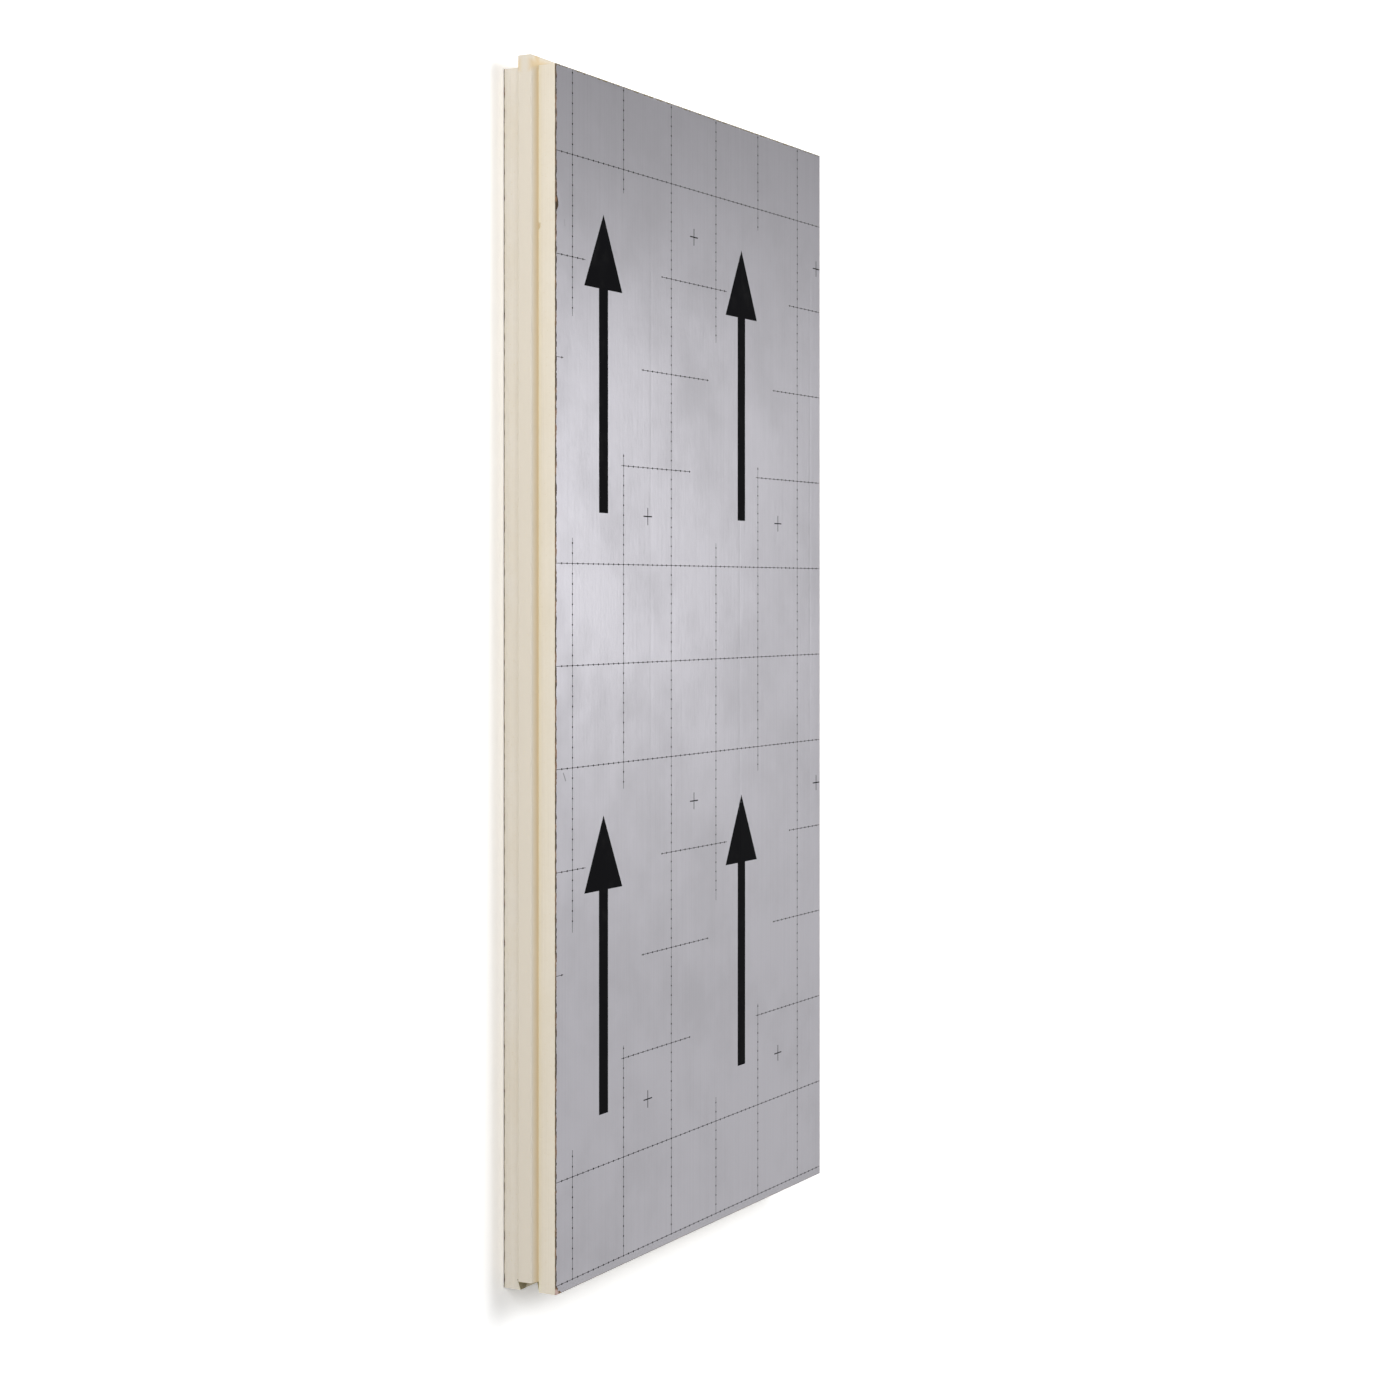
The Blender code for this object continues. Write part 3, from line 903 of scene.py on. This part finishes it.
def start_strip(name, low, high, cells_long, cells_wide):
    """A flat strip of ink between two corners, divided so that it can follow the foil."""
    bpy.ops.object.select_all(action="DESELECT")
    bpy.ops.mesh.primitive_grid_add(
        x_subdivisions=cells_long, y_subdivisions=cells_wide, size=1,
        location=((low[0] + high[0]) / 2, (low[1] + high[1]) / 2, ABOVE_FOIL),
    )
    strip = bpy.context.object
    strip.name = name
    strip.data.name = name
    strip.scale = (high[0] - low[0], high[1] - low[1], 1)
    bpy.ops.object.transform_apply(location=True, rotation=True, scale=True)
    return strip


def repeat_piece(piece, count, step):
    """Copies a piece in a row inside its own mesh."""
    row = piece.modifiers.new("row", "ARRAY")
    row.count = count
    row.use_relative_offset = False
    row.use_constant_offset = True
    row.constant_offset_displace = step
    bpy.ops.object.modifier_apply(modifier=row.name)


def lay_ink(piece):
    """Presses flat print down on the foil as a thin closed film."""
    bpy.context.view_layer.objects.active = piece
    wrap = piece.modifiers.new("on_foil", "SHRINKWRAP")
    wrap.target = front_sheet
    wrap.wrap_method = "PROJECT"
    wrap.use_project_z = True
    wrap.use_negative_direction = True
    wrap.use_positive_direction = False
    wrap.offset = INK_LIFT
    bpy.ops.object.modifier_apply(modifier=wrap.name)
    film = piece.modifiers.new("film", "SOLIDIFY")
    film.thickness = INK_DEPTH
    film.offset = -1
    bpy.ops.object.modifier_apply(modifier=film.name)


def start_dot(name, place):
    """A flat dot of ink with eight sides."""
    bpy.ops.object.select_all(action="DESELECT")
    bpy.ops.mesh.primitive_circle_add(vertices=8, radius=DOT_SIZE / 2, fill_type="NGON", location=place)
    dot = bpy.context.object
    dot.name = name
    bpy.ops.object.transform_apply(location=True, rotation=True, scale=True)
    return dot


def print_lines():
    """The thin lines both ways, with a dot at every tenth of a square, joined into one print."""
    start_x = SHOULDER.x + INK_MARGIN
    end_x = FIRST_LINE_X
    start_y = SHOULDER.y + INK_MARGIN
    end_y = GROOVED.y - INK_MARGIN
    fine = FINE_LINE_WIDTH / 2
    bold = BOLD_LINE_WIDTH / 2
    dot_step_along = LINE_STEP_ALONG / DOTS_PER_SQUARE
    dot_step_across = LINE_STEP_ACROSS / DOTS_PER_SQUARE
    along = start_strip("lines_along", (start_x, FIRST_LINE_Y - fine), (end_x, FIRST_LINE_Y + fine),
                        LINE_CELLS_ALONG, 1)
    repeat_piece(along, LINES_ALONG, (0, LINE_STEP_ACROSS, 0))
    across = start_strip("lines_across", (FIRST_LINE_X - bold, start_y), (FIRST_LINE_X + bold, end_y),
                         1, LINE_CELLS_ACROSS)
    repeat_piece(across, LINES_ACROSS, (-LINE_STEP_ALONG, 0, 0))

    dots_along = start_dot("dots_along", (end_x, FIRST_LINE_Y, ABOVE_FOIL))
    repeat_piece(dots_along, int((end_x - start_x) / dot_step_along) + 1, (-dot_step_along, 0, 0))
    repeat_piece(dots_along, LINES_ALONG, (0, LINE_STEP_ACROSS, 0))

    first_dot_y = FIRST_LINE_Y - DOTS_BEFORE_LINE * dot_step_across
    dots_across = start_dot("dots_across", (FIRST_LINE_X, first_dot_y, ABOVE_FOIL))
    repeat_piece(dots_across, int((end_y - first_dot_y) / dot_step_across) + 1, (0, dot_step_across, 0))
    repeat_piece(dots_across, LINES_ACROSS, (-LINE_STEP_ALONG, 0, 0))

    bpy.ops.object.select_all(action="DESELECT")
    for part in (along, across, dots_along, dots_across):
        part.select_set(True)
    bpy.context.view_layer.objects.active = along
    bpy.ops.object.join()
    along.name = "printed_grid"
    along.data.name = "printed_grid"
    bpy.ops.object.mode_set(mode="EDIT")
    pick_faces(along, lambda place, normal: in_clear(place))
    bpy.ops.mesh.delete(type="FACE")
    bpy.ops.object.mode_set(mode="OBJECT")
    lay_ink(along)
    return along


def ink_material():
    """Dark printing ink: nearly black, satin, thinner and greyer in patches where the roller ran dry."""
    material, tree, shader = start_material("printing_ink", INK_BLACK, 0.6)
    shader.inputs["Specular IOR Level"].default_value = 0.03
    dry = place_group(tree, BLOTCHES, Scale=60.0, Edge=0.62, Softness=0.12)
    colour = mix_colours(tree, do_sum(tree, "MULTIPLY", dry.outputs["Mask"], 0.4), INK_BLACK, grey(0.02))
    tree.links.new(colour, shader.inputs["Base Color"])
    gloss = do_sum(tree, "ADD", do_sum(tree, "MULTIPLY", dry.outputs["Mask"], 0.2), 0.55)
    tree.links.new(gloss, shader.inputs["Roughness"])
    return material


INK = ink_material()
printed_grid = print_lines()
printed_grid.data.materials.clear()
printed_grid.data.materials.append(INK)
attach(printed_grid, "root")


# Laying arrows
# Four plain arrows printed along the board in the same ink. They point to the end with the tongue, so
# that every board is laid the same way round.
ARROW_LENGTH = 0.300
ARROW_HEAD_LENGTH = 0.075
ARROW_HEAD_HALF = 0.038
ARROW_SHAFT_HALF = 0.009
ARROW_CELLS = 12
ARROW_HALVINGS = 4


def print_arrow():
    """One arrow at the first place: a shaft with a head drawn to a point towards the tongued end."""
    centre = ARROW_PLACES[0]
    tail = centre.x + ARROW_LENGTH / 2
    tip = centre.x - ARROW_LENGTH / 2
    neck = tip + ARROW_HEAD_LENGTH
    low = (neck, centre.y - ARROW_HEAD_HALF)
    high = (tail, centre.y + ARROW_HEAD_HALF)
    arrow = start_strip("laying_arrow", low, high, ARROW_CELLS, 1)
    bpy.ops.object.mode_set(mode="EDIT")
    for side in (-ARROW_SHAFT_HALF, ARROW_SHAFT_HALF):
        bpy.ops.mesh.select_all(action="SELECT")
        bpy.ops.mesh.bisect(plane_co=(0, centre.y + side, 0), plane_no=(0, 1, 0))
    pick_edges(arrow, lambda a, b: at(a.x, neck) and at(b.x, neck))
    bpy.ops.mesh.extrude_region_move(TRANSFORM_OT_translate={"value": (tip - neck, 0, 0)})
    bpy.ops.transform.resize(value=(1, 0, 1), center_override=(0, centre.y, 0))
    bpy.ops.mesh.remove_doubles(threshold=NEAR)
    pick_faces(arrow, lambda place, normal: abs(place.y - centre.y) > ARROW_SHAFT_HALF and place.x > neck)
    bpy.ops.mesh.delete(type="FACE")
    bpy.ops.object.mode_set(mode="OBJECT")
    finer = arrow.modifiers.new("finer", "SUBSURF")
    finer.subdivision_type = "SIMPLE"
    finer.levels = ARROW_HALVINGS
    finer.render_levels = ARROW_HALVINGS
    bpy.ops.object.modifier_apply(modifier=finer.name)
    return arrow


def copy_to_places(first, places):
    """Copies a piece, which stands at the first place, to the other places, and numbers the row."""
    row = [first]
    for place in places[1:]:
        bpy.ops.object.select_all(action="DESELECT")
        first.select_set(True)
        bpy.context.view_layer.objects.active = first
        bpy.ops.object.duplicate()
        row.append(bpy.context.object)
        bpy.ops.transform.translate(value=place - places[0])
        bpy.ops.object.transform_apply(location=True, rotation=True, scale=True)
    stem = first.name
    for number, copy in enumerate(row, start=1):
        copy.name = f"{stem}_{number}"
        copy.data.name = copy.name
    return row


for arrow in copy_to_places(print_arrow(), ARROW_PLACES):
    lay_ink(arrow)
    arrow.data.materials.append(INK)
    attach(arrow, "root")


# Register crosses
# Small plain crosses in the same ink, by which the printing rollers are lined up. They stand in the
# middles of squares, three squares apart both ways, and every second pair is one square further over.
CROSS_ARM = 0.009
CROSS_LINE_HALF = 0.0006
CROSS_CELLS = 6


def print_cross():
    """One cross at the first place: a small square drawn out from each of its four sides."""
    centre = CROSS_PLACES[0]
    half = Vector((CROSS_LINE_HALF, CROSS_LINE_HALF, 0))
    cross = start_strip("register_cross", centre - half, centre + half, 1, 1)
    bpy.ops.object.mode_set(mode="EDIT")
    for way in (Vector((1, 0, 0)), Vector((-1, 0, 0)), Vector((0, 1, 0)), Vector((0, -1, 0))):
        pick_edges(cross, lambda a, b: at((a - centre).dot(way), CROSS_LINE_HALF)
                   and at((b - centre).dot(way), CROSS_LINE_HALF) and (a - b).length < 3 * CROSS_LINE_HALF)
        reach = way * (CROSS_ARM - CROSS_LINE_HALF)
        bpy.ops.mesh.extrude_region_move(TRANSFORM_OT_translate={"value": reach})
    divide_edges(cross, lambda a, b: (a - b).length > CROSS_ARM / 2, CROSS_CELLS)
    bpy.ops.object.mode_set(mode="OBJECT")
    return cross


for cross in copy_to_places(print_cross(), CROSS_PLACES):
    lay_ink(cross)
    cross.data.materials.append(INK)
    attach(cross, "root")


# Studio
# A plain pale floor in an even pale room. The foil mirrors two softboxes that hang beyond the board. Three
# more, which nothing mirrors, light the top, the milled edge on the camera's side and the floor behind.
FLOOR_PALE = 0.90
FLOOR_SEEN = 1.30
FLOOR_SIZE = 60
FLOOR_GAP = 0.0002
ROOM_STRENGTH = 0.35

bpy.ops.object.select_all(action="DESELECT")
bpy.ops.mesh.primitive_plane_add(size=FLOOR_SIZE, location=(0, 0, -FLOOR_GAP))
studio_floor = bpy.context.object
studio_floor.name = "studio_floor"
floor_material, floor_tree, floor_shader = start_material("floor_paint", grey(FLOOR_PALE), 0.9)
floor_shader.inputs["Specular IOR Level"].default_value = 0.0
sight = add_node(floor_tree, "ShaderNodeLightPath")
seen = do_sum(floor_tree, "ADD", sight.outputs["Is Camera Ray"], sight.outputs["Is Glossy Ray"])
seen = do_sum(floor_tree, "ADD", seen, sight.outputs["Is Transmission Ray"])
floor_colour = mix_colours(floor_tree, seen, grey(FLOOR_PALE), grey(FLOOR_SEEN))
floor_tree.links.new(floor_colour, floor_shader.inputs["Base Color"])
studio_floor.data.materials.append(floor_material)


def hang_softbox(name, place, aim, size, power, mirrored=True):
    """A rectangular lamp that hangs at one place and looks at another, out of the camera's sight."""
    lamp = bpy.data.lights.new(name, "AREA")
    lamp.shape = "RECTANGLE"
    lamp.size, lamp.size_y = size
    lamp.energy = power
    holder = bpy.data.objects.new(name, lamp)
    holder.visible_glossy = mirrored
    holder.visible_camera = False
    holder.location = place
    holder.rotation_euler = (Vector(aim) - Vector(place)).to_track_quat("-Z", "Y").to_euler()
    bpy.context.scene.collection.objects.link(holder)


hang_softbox("far_softbox", (-0.22, 3.2, 2.75), (-0.22, 0, 0), (1.36, 1.6), 8.7)
hang_softbox("side_softbox", (1.95, 3.2, 2.4), (1.95, 0, 0), (2.9, 3.0), 7.4)
hang_softbox("top_softbox", (-1.2, 1.2, 3.2), (0, 0, 0), (1.8, 1.8), 60, mirrored=False)
hang_softbox("near_softbox", (-0.9, -2.8, 1.4), (0, 0, 0), (1.6, 2.6), 46, mirrored=False)
hang_softbox("back_softbox", (0, 5.5, 3.0), (0, 4.2, 0), (3.0, 1.8), 60, mirrored=False)

room = bpy.data.worlds.new("studio_room")
room.use_nodes = True
room.node_tree.nodes["Background"].inputs["Color"].default_value = (1, 1, 1, 1)
room.node_tree.nodes["Background"].inputs["Strength"].default_value = ROOM_STRENGTH
bpy.context.scene.world = room


# Camera
# It stands off the long tongued edge and looks down across the printed face at the photo's angle, turned
# so that the board's length runs up the picture with the tongued end at the top.
PHOTO_SIZE = 1383
PHOTO_FOCUS = 2566.0
PHOTO_HORIZON = 594.97
SENSOR_WIDTH = 36.0
CAMERA_PLACE = Vector((-0.0773, -2.4352, 1.3567))
CAMERA_DOWN = math.radians(28.19)

eye = bpy.data.cameras.new("photo_camera")
eye.sensor_width = SENSOR_WIDTH
eye.sensor_fit = "HORIZONTAL"
eye.lens = PHOTO_FOCUS / PHOTO_SIZE * SENSOR_WIDTH
eye.shift_y = (PHOTO_HORIZON - PHOTO_SIZE / 2) / PHOTO_SIZE
eye.clip_end = 100
camera = bpy.data.objects.new("photo_camera", eye)
look = Vector((0, math.cos(CAMERA_DOWN), -math.sin(CAMERA_DOWN)))
picture_up = Vector((-1, 0, 0))
picture_right = look.cross(picture_up)
turned = Matrix((picture_right, picture_up, -look)).transposed().to_4x4()
camera.matrix_world = Matrix.Translation(CAMERA_PLACE) @ turned
bpy.context.scene.collection.objects.link(camera)
bpy.context.scene.camera = camera
bpy.context.scene.view_settings.view_transform = "Standard"
